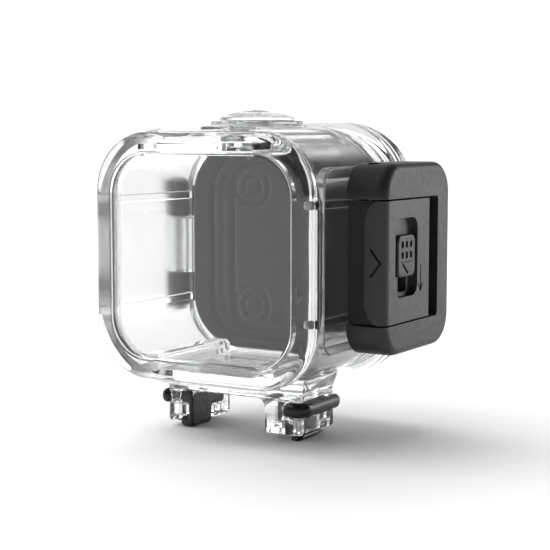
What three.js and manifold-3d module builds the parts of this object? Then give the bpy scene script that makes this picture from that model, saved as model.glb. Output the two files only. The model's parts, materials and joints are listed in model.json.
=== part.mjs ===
// Clear waterproof housing for a cube-shaped action camera: a moulded body with a flat front window,
// a sprung shutter button, a hinged rear door with a silicone pad, and a side draw latch with a slide lock.
// Millimetres, +Z up. Inside this file the bezel's front face is y = 0, its centre is x = 0, z = 0, and
// +Y runs to the door. The exported group moves the origin to the middle of the footprint on the ground.
import * as THREE from "three";
import { mergeVertices } from "three/addons/utils/BufferGeometryUtils.js";
import Module from "manifold-3d";

const wasm = await Module();
wasm.setup();

// ---- Driving dimensions -------------------------------------------------------------------------
const CORNER_STEPS = 4;
const FIT_GAP = 0.15;
const MOVING_GAP = 0.3;

const bezel = { halfWide: 22.05, halfHigh: 21.6, corner: 10.6, depth: 4.2, edge: 1.6 };
const opening = { halfWide: 18.5, halfHigh: 18.05, corner: 7.5 };
const windowPane = { front: 0.15, rear: 1.75 };
const gasketRing = { front: 1.9, rear: 2.5, wide: 0.45 };
const ledge = { front: 2.65, rear: 3.4, inset: 0.4 };

const barrel = { halfWide: 22.2, halfHigh: 22.5, corner: 15, front: 2.7, rear: 31, edge: 1.1 };
const bay = { halfWide: 20.3, halfHigh: 19.8, corner: 9.5, rear: 28 };
const mouth = { halfWide: 20.9, halfHigh: 20.4, corner: 10.1, front: 27.3 };
const sealLand = { halfWide: 21.7, halfHigh: 21.2, corner: 10.9, front: 31.2 };
const flange = { halfWide: 23.2, halfHigh: 23.2, corner: 13.3, front: 30.2, rear: 33 };

const sideRib = { upper: 9.55, lower: -9.95, high: 1.5, tall: 0.9, front: 3, rear: 27.3 };
const rail = { x: 11.75, wide: 4.1, tall: 2.4, front: 3, rear: 26 };

const door = { front: 33.3, rear: 36.1, edge: 0.8 };
const plug = { halfWide: 20.4, halfHigh: 19.9, corner: 9.6, front: 31.5 };
const pad = { halfWide: 20, halfHigh: 19.5, corner: 10, front: 28, rear: 31.35 };
const padRelief = { step: 0.6, border: 4.4, field: 0.1 };
const padField = { halfWide: 10.2, halfHigh: 14.9, corner: 4 };
const dish = { x: 6.3, z: 11.1, radius: 2.2, deep: 0.5 };
const doorSeal = { outer: 0.2, inner: 0.2, front: 31.4, rear: 33.1 };

const hinge = { x: -27.2, y: 33, radius: 2.9, pin: 1, head: 1.6 };
const hingeArms = [
  { name: "upper", bottom: 5, top: 11 },
  { name: "lower", bottom: -11.9, top: -6.1 },
];
const bodyKnuckle = { bottom: -5.8, top: 4.7 };
const armTab = { front: 36.3, rear: 38, end: -15.5, screwX: -19, corner: 1.5 };
const armScrew = { shank: 0.8, head: 1.65, socket: 0.75, hole: 1, counterbore: 1.9, counterboreFront: 37 };
const armScrewLevels = { tip: 34.2, head: 37.12, socket: 37.4, rear: 37.9 };

const button = { y: 19.1, cap: 6.7, skirtBottom: 23.1, rim: 24.1, top: 25.4, stem: 2, travel: 1.5 };
const collar = { radius: 8.3, top: 23.5, well: 7.1, floor: 21.3 };
const boss = { radius: 4.6, bottom: 18.6, bore: 2.4 };
const stemLevels = { end: 17.6, clip: 17.95, clipTop: 18.6, ring: 19.7, ringTop: 20.7, groove: 0.5 };
const ringLevels = { bottom: 19.85, top: 20.55, outer: 2.25 };
const clipLevels = { bottom: 18.1, top: 18.45, outer: 3 };
const tip = { radius: 1.4, bottom: 16.5, top: 17.45 };
const spring = { wide: 5.1, narrow: 2.5, wire: 0.35 };

const latch = { inner: 22.9, outer: 30.1, front: 10.5, rear: 36.2, bottom: -16.1, top: 16.3, corner: 5.4 };
const latchEdge = 1.8;
const latchWindow = { bottom: -10.8, top: 10.4, rear: 31 };
const bailRear = { inner: 23.7, from: 29.8 };
const lever = { bottom: -10.5, top: 10.1, rear: 27, nose: 2.1 };
const frontStep = { edge: 26.3, deep: 0.7, corner: 3 };
const boreEnds = { bailBottom: -14.8, leverBottom: -9.8 };
const leverPivot = { x: 25.4, y: 25.6, pin: 0.9, bore: 1.2 };
const bailPivot = { x: 25.6, y: 15.6, pin: 1.1, bore: 1.4 };
const pivotLugs = [
  { bottom: -8.4, top: -5.4 },
  { bottom: 4.6, top: 7.6 },
];
const latchSeat = { outer: 22.6, front: 3.6, rear: 30.4, bottom: -15.4, top: 15.7, corner: 3 };
const keeper = { outer: 24, front: 18.2, rear: 22.2, bottom: 4.6, top: 5.8 };

const slot = { front: 14.3, rear: 22.8, bottom: -6.3, top: 7.1, floor: 28.9, corner: 2 };
const slotNeck = { front: 17.6, rear: 20.8, bottom: -5.6, top: 3.5, inner: 26, outer: 30, corner: 0.6 };
const knob = { front: 15.4, rear: 21.9, bottom: -2.9, top: 4.2, inner: 29.05, outer: 30.1, corner: 1.2 };
const stemBlock = { front: 17.9, rear: 20.5, bottom: -1.5, top: 3, inner: 26.9 };
const ticks = { y: 18.65, pitch: 1.6, levels: [2.6, 0.8], halfWide: 0.4, halfHigh: 0.55, deep: 0.35 };
const lockScrew = { y: 19.2, z: 0.75, shank: 0.6, hole: 0.8, plateHole: 0.9, head: 1.3, tip: 28.4 };
const lockScrewHead = { inner: 24.4, outer: 25.25 };
const lockPlateSize = { inner: 25.4, outer: 26.75, front: 17.7, rear: 22.7, bottom: -3.2, top: 4.2 };
const tongue = { inner: 23.1, front: 20.6, rear: 22.4, bottom: 3 };
const mechanismBay = { inner: 22, outer: 27.2, front: 17.3, rear: 23.5, bottom: -7, top: 7.5 };

const shoe = { halfWide: 14.3, front: 10.5, rear: 22.8, seat: -24.9, outer: 14, bottom: -30.9 };
const channel = { right: 6.9, left: -8.5 };
const standHeight = 31.8;
const bead = { z: -26.4, high: 2.7, deep: 2, reach: 15.3, start: 10.9, bend: 1.8 };
const insert = { inner: 8.7, lobe: 11.3, skin: 9.6, front: 11.9, footFront: 16, rear: 22.7 };
const outerFoot = { inner: 11.6, outer: 13.9, front: 10.9, rear: 19.4, top: -30.75, corner: 0.8 };

const middleDepth = armTab.rear / 2;

// ---- Shapes and solids ----------------------------------------------------------------------------
// A rounded rectangle between two corners of its plane.
function roundedBox(left, low, right, high, radius) {
  const r = Math.min(radius, (right - left) / 2, (high - low) / 2);
  const shape = new THREE.Shape();
  shape.moveTo(right, low + r);
  shape.lineTo(right, high - r);
  shape.absarc(right - r, high - r, r, 0, Math.PI / 2);
  shape.lineTo(left + r, high);
  shape.absarc(left + r, high - r, r, Math.PI / 2, Math.PI);
  shape.lineTo(left, low + r);
  shape.absarc(left + r, low + r, r, Math.PI, 1.5 * Math.PI);
  shape.lineTo(right - r, low);
  shape.absarc(right - r, low + r, r, 1.5 * Math.PI, 2 * Math.PI);
  return shape;
}

// The centred rounded rectangle of a frame such as the bezel, grown or shrunk by a margin.
function outline(frame, margin = 0) {
  const wide = frame.halfWide + margin;
  const high = frame.halfHigh + margin;
  return roundedBox(-wide, -high, wide, high, frame.corner + margin);
}

function toSolid(geometry) {
  const bare = geometry.clone();
  bare.deleteAttribute("normal");
  bare.deleteAttribute("uv");
  const merged = mergeVertices(bare, 1e-4);
  return new wasm.Manifold(
    new wasm.Mesh({
      numProp: 3,
      vertProperties: merged.attributes.position.array,
      triVerts: new Uint32Array(merged.index.array),
    }),
  );
}

function toGeometry(solid) {
  const mesh = solid.getMesh();
  const geometry = new THREE.BufferGeometry();
  geometry.setAttribute("position", new THREE.BufferAttribute(mesh.vertProperties, 3));
  geometry.setIndex(new THREE.BufferAttribute(mesh.triVerts, 1));
  geometry.computeVertexNormals();
  return geometry;
}

function extrude(shape, length, edge = 0) {
  return new THREE.ExtrudeGeometry(shape, {
    depth: length - 2 * edge,
    curveSegments: CORNER_STEPS,
    bevelEnabled: edge > 0,
    bevelThickness: edge,
    bevelSize: edge,
    bevelOffset: -edge,
    bevelSegments: 1,
  }).translate(0, 0, edge);
}

// A shape drawn in X and Z, run along Y.
function alongY(shape, front, rear, edge = 0) {
  return toSolid(extrude(shape, rear - front, edge).rotateX(Math.PI / 2).translate(0, rear, 0));
}

// A shape drawn in X and Y, run along Z.
function alongZ(shape, bottom, top, edge = 0) {
  return toSolid(extrude(shape, top - bottom, edge).translate(0, 0, bottom));
}

// A shape drawn in Y and Z, run along X.
function alongX(shape, inner, outer, edge = 0) {
  const axes = new THREE.Matrix4().makeBasis(
    new THREE.Vector3(0, 1, 0),
    new THREE.Vector3(0, 0, 1),
    new THREE.Vector3(1, 0, 0),
  );
  return toSolid(extrude(shape, outer - inner, edge).applyMatrix4(axes).translate(inner, 0, 0));
}

function block(low, high) {
  const size = high.map((value, axis) => value - low[axis]);
  const box = new THREE.BoxGeometry(...size);
  return toSolid(box.translate(...low.map((value, axis) => value + size[axis] / 2)));
}

function post(x, y, radius, bottom, top, steps = 16) {
  const round = new THREE.CylinderGeometry(radius, radius, top - bottom, steps);
  return toSolid(round.rotateX(Math.PI / 2).translate(x, y, (bottom + top) / 2));
}

// A round rod along Y.
function rod(x, z, radius, front, rear, steps = 12) {
  const round = new THREE.CylinderGeometry(radius, radius, rear - front, steps);
  return toSolid(round.translate(x, (front + rear) / 2, z));
}

// A turned piece about a vertical axis, from a profile of [radius, height] points.
function turned(profile, x, y, steps = 24) {
  const points = profile.map(([radius, height]) => new THREE.Vector2(radius, height));
  const lathe = new THREE.LatheGeometry(points, steps);
  return toSolid(lathe.rotateX(Math.PI / 2).translate(x, y, 0));
}

function union(...solids) {
  return solids.reduce((whole, solid) => whole.add(solid));
}

function cut(solid, ...tools) {
  return tools.reduce((rest, tool) => rest.subtract(tool), solid);
}

// Half a turn about the vertical line through the middle of the shoe.
function turnedRound(solid) {
  const geometry = toGeometry(solid).rotateZ(Math.PI);
  return toSolid(geometry.translate(0, shoe.front + shoe.rear, 0));
}

// ---- Materials ------------------------------------------------------------------------------------
function plastic(color, roughness) {
  return new THREE.MeshStandardMaterial({ color, roughness, metalness: 0 });
}
const clear = new THREE.MeshStandardMaterial({
  color: 0xe6ebe9,
  roughness: 0.12,
  metalness: 0,
  transparent: true,
  opacity: 0.35,
});
const darkPlastic = plastic(0x3a3a38, 0.55);
const silicone = plastic(0x4c4c4c, 0.7);
const rubber = plastic(0x232323, 0.6);
const clearSeal = plastic(0xd8dcda, 0.5);
const steel = new THREE.MeshStandardMaterial({ color: 0xb9bcbd, roughness: 0.3, metalness: 1 });

const root = new THREE.Group();
root.position.set(0, -middleDepth, standHeight);

function addPart(name, solid, material) {
  const mesh = new THREE.Mesh(toGeometry(solid), material);
  mesh.name = name;
  root.add(mesh);
}

// ---- Rubber inserts of the shoe ---------------------------------------------------------------------
// The bar on the outside of a lug: it starts on the front face, turns the corner and runs to the rear.
function beadBar(swell) {
  const x = bead.reach - bead.deep / 2;
  const y = shoe.front + 0.2;
  const path = new THREE.CurvePath();
  const level = (px, py) => new THREE.Vector3(px, py, bead.z);
  path.add(new THREE.LineCurve3(level(bead.start, y), level(x - bead.bend, y)));
  path.add(new THREE.QuadraticBezierCurve3(level(x - bead.bend, y), level(x, y), level(x, y + bead.bend)));
  path.add(new THREE.LineCurve3(level(x, y + bead.bend), level(x, shoe.rear + 0.2)));
  const section = new THREE.Shape();
  const steps = 8;
  for (let i = 0; i < steps; i++) {
    const turn = (2 * Math.PI * i) / steps;
    const u = (bead.high / 2 + swell) * Math.cos(turn);
    const v = (bead.deep / 2 + swell) * Math.sin(turn);
    if (i === 0) section.moveTo(u, v);
    else section.lineTo(u, v);
  }
  return toSolid(new THREE.ExtrudeGeometry(section, { extrudePath: path, steps: 8 }));
}

// Everything of one insert, grown by a swell so that the same call also cuts its pocket.
function insertSolid(swell) {
  const grown = (low, high) =>
    block(
      low.map((value) => value - swell),
      high.map((value) => value + swell),
    );
  const foot = (inner, outer, front, rear, top) =>
    alongX(
      roundedBox(front - swell, -standHeight - swell, rear + swell, top + swell, outerFoot.corner),
      inner - swell,
      outer + swell,
    );
  const { inner, lobe, skin, front, footFront, rear } = insert;
  return union(
    grown([skin, 12.6, -27.2], [13.6, 21.4, -25.4]),
    grown([inner, front, -27.5], [lobe, rear, -25.2]),
    grown([inner, front, -28.6], [skin, rear, -25.2]),
    grown([inner, footFront, -30.9], [skin, rear, -25.2]),
    foot(inner, lobe, footFront, rear, -29.7),
    grown([12.2, 12.6, -31], [13.2, 17.6, -25.6]),
    foot(outerFoot.inner, outerFoot.outer, outerFoot.front, outerFoot.rear, outerFoot.top),
    beadBar(swell),
  );
}

// ---- Housing body -----------------------------------------------------------------------------------
function housingBody() {
  const outside = union(
    alongY(outline(bezel), 0, bezel.depth, bezel.edge),
    alongY(outline(barrel), barrel.front, barrel.rear, barrel.edge),
    alongY(outline(flange), flange.front, flange.rear, 0.5),
    post(0, button.y, collar.radius, barrel.halfHigh - 2, collar.top, 28),
    alongX(
      roundedBox(latchSeat.front, latchSeat.bottom, latchSeat.rear, latchSeat.top, latchSeat.corner),
      barrel.halfWide - 1.5,
      latchSeat.outer,
    ),
    block(
      [-shoe.halfWide, shoe.front, shoe.seat],
      [shoe.halfWide, shoe.rear, -barrel.halfHigh + 1],
    ),
    lug(channel.right, shoe.outer),
    lug(-shoe.outer, channel.left),
    bodyHingeKnuckle(),
    ...pivotLugs.map(latchPivotLug),
    block(
      [latchSeat.outer - 1, keeper.front, keeper.bottom],
      [keeper.outer, keeper.rear, keeper.top],
    ),
  );
  const hollow = union(
    alongY(outline(opening), -1, ledge.front),
    alongY(outline(opening, -ledge.inset), 1, ledge.rear + 1),
    alongY(outline(bay), ledge.rear, bay.rear),
    alongY(outline(mouth), mouth.front, flange.rear + 1),
    alongY(outline(sealLand), sealLand.front, flange.rear + 1),
  );
  const inside = union(
    post(0, button.y, boss.radius, boss.bottom, barrel.halfHigh - 1, 16),
    ...[-1, 1].flatMap((side) => [sideRibAt(side, sideRib.upper), sideRibAt(side, sideRib.lower)]),
    ...[-1, 1].flatMap((side) => [railAt(side, -1), railAt(side, 1)]),
  );
  const lining = inside.intersect(alongY(outline(barrel, -0.5), 1, barrel.rear));
  const pocket = insertSolid(MOVING_GAP);
  return cut(
    cut(outside, hollow).add(lining),
    post(0, button.y, collar.well, collar.floor, collar.top + 1, 28),
    post(0, button.y, boss.bore, boss.bottom - 1, collar.floor + 1, 16),
    post(hinge.x, hinge.y, hinge.pin + MOVING_GAP, bodyKnuckle.bottom - 1, bodyKnuckle.top + 1),
    post(leverPivot.x, leverPivot.y, leverPivot.bore, lever.bottom, lever.top),
    pocket,
    turnedRound(pocket),
  );
}

// One lug of the shoe, between its left and right faces.
function lug(left, right) {
  const shape = roundedBox(left, shoe.bottom, right, shoe.seat + 1, 0.6);
  return alongY(shape, shoe.front, shoe.rear, 0.5);
}

function sideRibAt(side, z) {
  const near = side * (bay.halfWide - sideRib.tall);
  const far = side * (bay.halfWide + 1);
  return block(
    [Math.min(near, far), sideRib.front, z - sideRib.high / 2],
    [Math.max(near, far), sideRib.rear, z + sideRib.high / 2],
  );
}

// A camera guide rail with rounded edges, on the floor for level -1 and under the roof for level 1.
function railAt(side, level) {
  const tip = level * (bay.halfHigh - rail.tall);
  const base = level * (bay.halfHigh + 1.5);
  const shape = roundedBox(
    side * rail.x - rail.wide / 2,
    Math.min(tip, base),
    side * rail.x + rail.wide / 2,
    Math.max(tip, base),
    1.2,
  );
  return alongY(shape, rail.front, rail.rear, 0.6);
}

function bodyHingeKnuckle() {
  const web = block(
    [hinge.x, hinge.y - hinge.radius, bodyKnuckle.bottom],
    [-flange.halfWide + 1.2, flange.rear, bodyKnuckle.top],
  );
  return post(hinge.x, hinge.y, hinge.radius, bodyKnuckle.bottom, bodyKnuckle.top).add(web);
}

function latchPivotLug({ bottom, top }) {
  const neck = block(
    [barrel.halfWide - 1, leverPivot.y - lever.nose, bottom],
    [leverPivot.x, leverPivot.y + lever.nose, top],
  );
  return post(leverPivot.x, leverPivot.y, lever.nose, bottom, top).add(neck);
}

addPart("housing_body", housingBody(), clear);

// ---- Window -----------------------------------------------------------------------------------------
addPart("front_window", alongY(outline(opening, -FIT_GAP), windowPane.front, windowPane.rear), clear);
addPart(
  "window_gasket",
  cut(
    alongY(outline(opening, -FIT_GAP), gasketRing.front, gasketRing.rear),
    alongY(outline(opening, -FIT_GAP - gasketRing.wide), gasketRing.front - 1, gasketRing.rear + 1),
  ),
  clearSeal,
);

// ---- Shutter button -----------------------------------------------------------------------------------
// The cap is a shallow dome on a short skirt, with a grooved stem that passes through the roof.
function shutterButton() {
  const { end, clip, clipTop, ring, ringTop, groove } = stemLevels;
  const neck = button.stem - groove;
  const profile = [[0, end], [button.stem, end], [button.stem, clip]];
  profile.push([neck, clip], [neck, clipTop], [button.stem, clipTop]);
  profile.push([button.stem, ring], [neck, ring], [neck, ringTop], [button.stem, ringTop]);
  profile.push([button.stem, button.skirtBottom + 0.5]);
  profile.push([5.4, button.skirtBottom + 0.5], [5.4, button.skirtBottom]);
  profile.push([button.cap, button.skirtBottom], [button.cap, button.rim]);
  const rise = button.top - button.rim;
  const steps = 6;
  for (let i = 1; i < steps; i++) {
    const radius = button.cap * (1 - i / steps);
    profile.push([radius, button.rim + rise * (1 - (radius / button.cap) ** 2)]);
  }
  profile.push([0, button.top]);
  return turned(profile, 0, button.y);
}

// A flat ring that sits in one of the stem's grooves.
function stemRing({ bottom, top, outer }) {
  const inner = button.stem - stemLevels.groove + FIT_GAP;
  const profile = [[inner, bottom], [outer, bottom], [outer, top], [inner, top], [inner, bottom]];
  return turned(profile, 0, button.y);
}

// A conical washer spring between the floor of the well and the underside of the cap.
function buttonSpring() {
  const low = collar.floor + FIT_GAP;
  const high = button.skirtBottom + 0.35;
  const { wide, narrow, wire } = spring;
  const profile = [[wide, low], [wide, low + wire], [narrow + wire, high], [narrow, high]];
  profile.push([narrow, high - wire], [wide - wire, low], [wide, low]);
  return turned(profile, 0, button.y);
}

addPart("shutter_button", shutterButton(), clear);
addPart("button_spring", buttonSpring(), steel);
addPart("button_o_ring", stemRing(ringLevels), rubber);
addPart("button_clip", stemRing(clipLevels), steel);
addPart(
  "plunger_tip",
  turned([[0, tip.bottom], [tip.radius, tip.bottom], [tip.radius, tip.top], [0, tip.top]], 0, button.y),
  rubber,
);

// ---- Rear door ------------------------------------------------------------------------------------------
function rearDoor() {
  const whole = union(
    alongY(outline(flange), door.front, door.rear, door.edge),
    alongY(outline(plug), plug.front, door.front + 1),
  );
  const start = armScrewLevels.tip - 0.2;
  const hole = (arm) => rod(armTab.screwX, middleOf(arm), armScrew.hole, start, door.rear + 1);
  return cut(whole, ...hingeArms.map(hole));
}

function middleOf({ bottom, top }) {
  return (bottom + top) / 2;
}

// The pad: a cushion with a raised border, a raised inner frame and four round dishes in its corners.
function doorPad() {
  const border = cut(
    alongY(outline(pad, -padRelief.step), pad.front, pad.rear),
    alongY(outline(pad, -padRelief.border), pad.front - 1, pad.front + padRelief.step),
  );
  const dishes = [-1, 1].flatMap((side) =>
    [1, -1].map((up) => rod(side * dish.x, up * dish.z, dish.radius, pad.front - 1, pad.front + dish.deep)),
  );
  return cut(
    union(
      alongY(outline(pad), pad.front + padRelief.step, pad.rear),
      border,
      alongY(outline(padField), pad.front + padRelief.field, pad.rear),
    ),
    ...dishes,
  );
}

function hingeArm({ bottom, top }) {
  const z = (bottom + top) / 2;
  const strap = block([hinge.x - hinge.radius, hinge.y, bottom], [-flange.halfWide - 0.4, armTab.rear, top]);
  const tabShape = roundedBox(-flange.halfWide - 2, bottom, armTab.end, top, armTab.corner);
  const tab = alongY(tabShape, armTab.front, armTab.rear);
  const knuckle = post(hinge.x, hinge.y, hinge.radius, bottom, top);
  return cut(
    union(strap, tab, knuckle),
    post(hinge.x, hinge.y, hinge.pin + MOVING_GAP, bottom - 1, top + 1),
    rod(armTab.screwX, z, armScrew.hole, armTab.front - 1, armTab.rear + 1),
    rod(armTab.screwX, z, armScrew.counterbore, armScrew.counterboreFront, armTab.rear + 1),
  );
}

function hingeScrew(arm) {
  const z = middleOf(arm);
  const { tip, head, socket, rear } = armScrewLevels;
  const shank = rod(armTab.screwX, z, armScrew.shank, tip, head + 0.1);
  const whole = shank.add(rod(armTab.screwX, z, armScrew.head, head, rear));
  return cut(whole, rod(armTab.screwX, z, armScrew.socket, socket, rear + 1, 6));
}

addPart("rear_door", rearDoor(), clear);
addPart("door_pad", doorPad(), silicone);
addPart(
  "door_seal",
  cut(
    alongY(outline(sealLand, -doorSeal.outer), doorSeal.front, doorSeal.rear),
    alongY(outline(plug, doorSeal.inner), doorSeal.front - 1, doorSeal.rear + 1),
  ),
  clearSeal,
);
for (const arm of hingeArms) {
  addPart("hinge_arm_" + arm.name, hingeArm(arm), darkPlastic);
  addPart("hinge_screw_" + arm.name, hingeScrew(arm), steel);
}
addPart(
  "hinge_pin",
  union(
    post(hinge.x, hinge.y, hinge.pin, hingeArms[1].bottom - 0.5, hingeArms[0].top + 0.5, 16),
    post(hinge.x, hinge.y, hinge.head, hingeArms[0].top + MOVING_GAP, hingeArms[0].top + 1, 16),
    post(hinge.x, hinge.y, hinge.head, hingeArms[1].bottom - 1, hingeArms[1].bottom - MOVING_GAP, 16),
  ),
  steel,
);

// ---- Latch ------------------------------------------------------------------------------------------------
// Plan outline of the latch: square at the back, rounded on its outer front corner.
function latchPlan(rear) {
  const { inner, outer, front } = latch;
  const shape = new THREE.Shape();
  shape.moveTo(inner, front);
  shape.lineTo(outer - latchEdge, front);
  shape.absarc(outer - latchEdge, front + latchEdge, latchEdge, -Math.PI / 2, 0);
  shape.lineTo(outer, rear);
  shape.lineTo(inner, rear);
  return shape;
}

function latchBail() {
  const side = roundedBox(latch.front, latch.bottom, latch.rear, latch.top, latch.corner);
  const whole = alongX(side, latch.inner - 1, latch.outer, 1).intersect(
    alongZ(latchPlan(latch.rear), latch.bottom - 1, latch.top + 1),
  );
  return cut(
    whole,
    block([20, 8, latchWindow.bottom], [32, latchWindow.rear, latchWindow.top]),
    block([20, bailRear.from, -20], [bailRear.inner, 40, 20]),
    post(bailPivot.x, bailPivot.y, bailPivot.bore, boreEnds.bailBottom, latch.top + 1),
  );
}

function latchLever() {
  const { inner, outer } = latch;
  const plan = new THREE.Shape();
  plan.moveTo(inner, latch.front);
  plan.lineTo(outer - latchEdge, latch.front);
  plan.absarc(outer - latchEdge, latch.front + latchEdge, latchEdge, -Math.PI / 2, 0);
  plan.lineTo(outer, lever.rear);
  plan.lineTo(leverPivot.x, leverPivot.y + lever.nose);
  plan.absarc(leverPivot.x, leverPivot.y, lever.nose, Math.PI / 2, Math.PI);
  plan.lineTo(leverPivot.x - lever.nose, leverPivot.y - 3);
  plan.lineTo(inner, leverPivot.y - 4);
  const lugPockets = pivotLugs.map(({ bottom, top }) =>
    block(
      [20, leverPivot.y - lever.nose - MOVING_GAP, bottom - MOVING_GAP],
      [leverPivot.x + lever.nose + MOVING_GAP, 30, top + MOVING_GAP],
    ),
  );
  const stepRear = latch.front + frontStep.deep;
  const raised = roundedBox(frontStep.edge, lever.bottom, outer + 10, lever.top, frontStep.corner);
  const step = cut(
    block([inner - 1, latch.front - 1, lever.bottom - 1], [outer - 1, stepRear, lever.top + 1]),
    alongY(raised, latch.front - 2, stepRear + 1),
  );
  const { front, rear, bottom, top } = slot;
  return cut(
    alongZ(plan, lever.bottom, lever.top),
    ...lugPockets,
    step,
    alongX(roundedBox(front, bottom, rear, top, slot.corner), slot.floor, 32),
    alongX(
      roundedBox(slotNeck.front, slotNeck.bottom, slotNeck.rear, slotNeck.top, slotNeck.corner),
      slotNeck.inner,
      slotNeck.outer,
    ),
    block(
      [mechanismBay.inner, mechanismBay.front, mechanismBay.bottom],
      [mechanismBay.outer, mechanismBay.rear, mechanismBay.top],
    ),
    post(bailPivot.x, bailPivot.y, bailPivot.bore, lever.bottom - 1, lever.top + 1),
    post(leverPivot.x, leverPivot.y, leverPivot.bore, boreEnds.leverBottom, lever.top + 1),
  );
}

addPart("latch_bail", latchBail(), darkPlastic);
addPart("latch_lever", latchLever(), darkPlastic);
addPart("bail_pivot_pin", post(bailPivot.x, bailPivot.y, bailPivot.pin, -14.5, 15), steel);
addPart("lever_pivot_pin", post(leverPivot.x, leverPivot.y, leverPivot.pin, -9.5, 9.8), steel);

// ---- Slide lock -------------------------------------------------------------------------------------------
function lockSlider() {
  const face = roundedBox(knob.front, knob.bottom, knob.rear, knob.top, knob.corner);
  const stem = block(
    [stemBlock.inner, stemBlock.front, stemBlock.bottom],
    [knob.inner + 0.5, stemBlock.rear, stemBlock.top],
  );
  const dimples = [-1, 0, 1].flatMap((column) =>
    ticks.levels.map((z) => {
      const y = ticks.y + column * ticks.pitch;
      return block(
        [knob.outer - ticks.deep, y - ticks.halfWide, z - ticks.halfHigh],
        [knob.outer + 1, y + ticks.halfWide, z + ticks.halfHigh],
      );
    }),
  );
  const screwHole = alongX(screwRound(lockScrew.hole), stemBlock.inner - 1, lockScrew.tip + 0.2);
  return cut(alongX(face, knob.inner, knob.outer, 0.25).add(stem), ...dimples, screwHole);
}

// The round of the given radius about the lock screw's axis.
function screwRound(radius) {
  const { y, z } = lockScrew;
  return roundedBox(y - radius, z - radius, y + radius, z + radius, radius);
}

// The plate behind the lever's skin: it carries the tongue that runs under the keeper.
function lockPlate() {
  const { inner, outer, front, rear, bottom, top } = lockPlateSize;
  const plate = block([inner, front, bottom], [outer, rear, top]);
  const catchBar = block([tongue.inner, tongue.front, tongue.bottom], [inner + 0.2, tongue.rear, top]);
  return cut(plate.add(catchBar), alongX(screwRound(lockScrew.plateHole), inner - 1, outer + 1));
}

function lockScrewSolid() {
  const shank = alongX(screwRound(lockScrew.shank), lockScrewHead.outer - 0.15, lockScrew.tip);
  return shank.add(alongX(screwRound(lockScrew.head), lockScrewHead.inner, lockScrewHead.outer));
}

addPart("lock_slider", lockSlider(), darkPlastic);
addPart("lock_plate", lockPlate(), darkPlastic);
addPart("lock_screw", lockScrewSolid(), steel);

// ---- Feet ---------------------------------------------------------------------------------------------------
addPart("foot_insert_right", insertSolid(0), rubber);
addPart("foot_insert_left", turnedRound(insertSolid(0)), rubber);

export default root;
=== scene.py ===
# Clear waterproof housing for a cube-shaped action camera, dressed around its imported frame.
# Shapes are drawn in millimetres from the middle of the bezel's front face, +Y towards the door and
# +Z up, and are moved into the frame's metres when each piece is made.
import json
import math
from collections import namedtuple

import bmesh
import bpy
from mathutils import Matrix, Vector

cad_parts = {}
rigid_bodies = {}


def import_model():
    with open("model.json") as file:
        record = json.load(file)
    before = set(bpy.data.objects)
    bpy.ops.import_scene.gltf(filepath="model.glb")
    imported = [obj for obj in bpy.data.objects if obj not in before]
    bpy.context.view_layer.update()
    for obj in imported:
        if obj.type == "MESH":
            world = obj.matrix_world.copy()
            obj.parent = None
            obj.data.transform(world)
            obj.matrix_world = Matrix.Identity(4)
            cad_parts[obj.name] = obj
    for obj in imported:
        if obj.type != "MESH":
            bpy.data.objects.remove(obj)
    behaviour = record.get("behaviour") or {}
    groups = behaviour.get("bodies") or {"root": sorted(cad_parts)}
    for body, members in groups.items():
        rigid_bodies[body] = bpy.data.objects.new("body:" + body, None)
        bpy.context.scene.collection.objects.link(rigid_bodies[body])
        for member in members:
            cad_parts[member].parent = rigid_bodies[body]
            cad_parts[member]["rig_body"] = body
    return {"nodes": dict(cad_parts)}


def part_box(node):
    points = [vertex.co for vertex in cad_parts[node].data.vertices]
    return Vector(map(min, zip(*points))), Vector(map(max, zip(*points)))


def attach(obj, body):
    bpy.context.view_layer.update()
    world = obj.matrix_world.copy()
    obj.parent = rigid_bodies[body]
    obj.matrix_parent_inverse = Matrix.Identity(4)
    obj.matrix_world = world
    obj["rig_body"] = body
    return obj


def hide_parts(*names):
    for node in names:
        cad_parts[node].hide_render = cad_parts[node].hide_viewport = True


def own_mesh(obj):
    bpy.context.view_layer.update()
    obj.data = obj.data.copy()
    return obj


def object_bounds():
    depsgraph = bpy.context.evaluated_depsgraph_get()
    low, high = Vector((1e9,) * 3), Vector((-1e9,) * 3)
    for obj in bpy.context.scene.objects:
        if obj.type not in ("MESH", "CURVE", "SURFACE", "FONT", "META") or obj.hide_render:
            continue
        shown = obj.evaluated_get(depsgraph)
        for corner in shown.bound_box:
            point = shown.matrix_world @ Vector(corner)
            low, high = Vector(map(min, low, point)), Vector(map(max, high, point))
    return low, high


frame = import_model()
cad_low, cad_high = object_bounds()

MM = 0.001
body_low, body_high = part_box("housing_body")
window_low, window_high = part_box("front_window")
ORIGIN = Vector((0, body_low.y, (window_low.z + window_high.z) / 2))
TO_FRAME = Matrix.Translation(ORIGIN) @ Matrix.Scale(MM, 4)


def span(node):
    """A CAD node's lowest and highest corner, in millimetres from the bezel."""
    low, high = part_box(node)
    return (low - ORIGIN) / MM, (high - ORIGIN) / MM


# ---- Driving dimensions ----
Outline = namedtuple("Outline", "wide high corner")
CORNER_STEPS = 12
FILLET_STEPS = 4
TURN_STEPS = 64
SHARP_ANGLE = math.radians(38)
FIT_GAP = 0.15
CLEARANCE = 0.3

door_low, door_high = span("rear_door")
pad_low, pad_high = span("door_pad")
seal_low, seal_high = span("door_seal")
glass_low, glass_high = span("front_window")
gasket_low, gasket_high = span("window_gasket")
button_low, button_high = span("shutter_button")
spring_low, spring_high = span("button_spring")
ring_low, ring_high = span("button_o_ring")
clip_low, clip_high = span("button_clip")
tip_low, tip_high = span("plunger_tip")
bail_low, bail_high = span("latch_bail")
lever_low, lever_high = span("latch_lever")
knob_low, knob_high = span("lock_slider")
bail_pin_low, bail_pin_high = span("bail_pivot_pin")
lever_pin_low, lever_pin_high = span("lever_pivot_pin")
hinge_pin_low, hinge_pin_high = span("hinge_pin")

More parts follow.
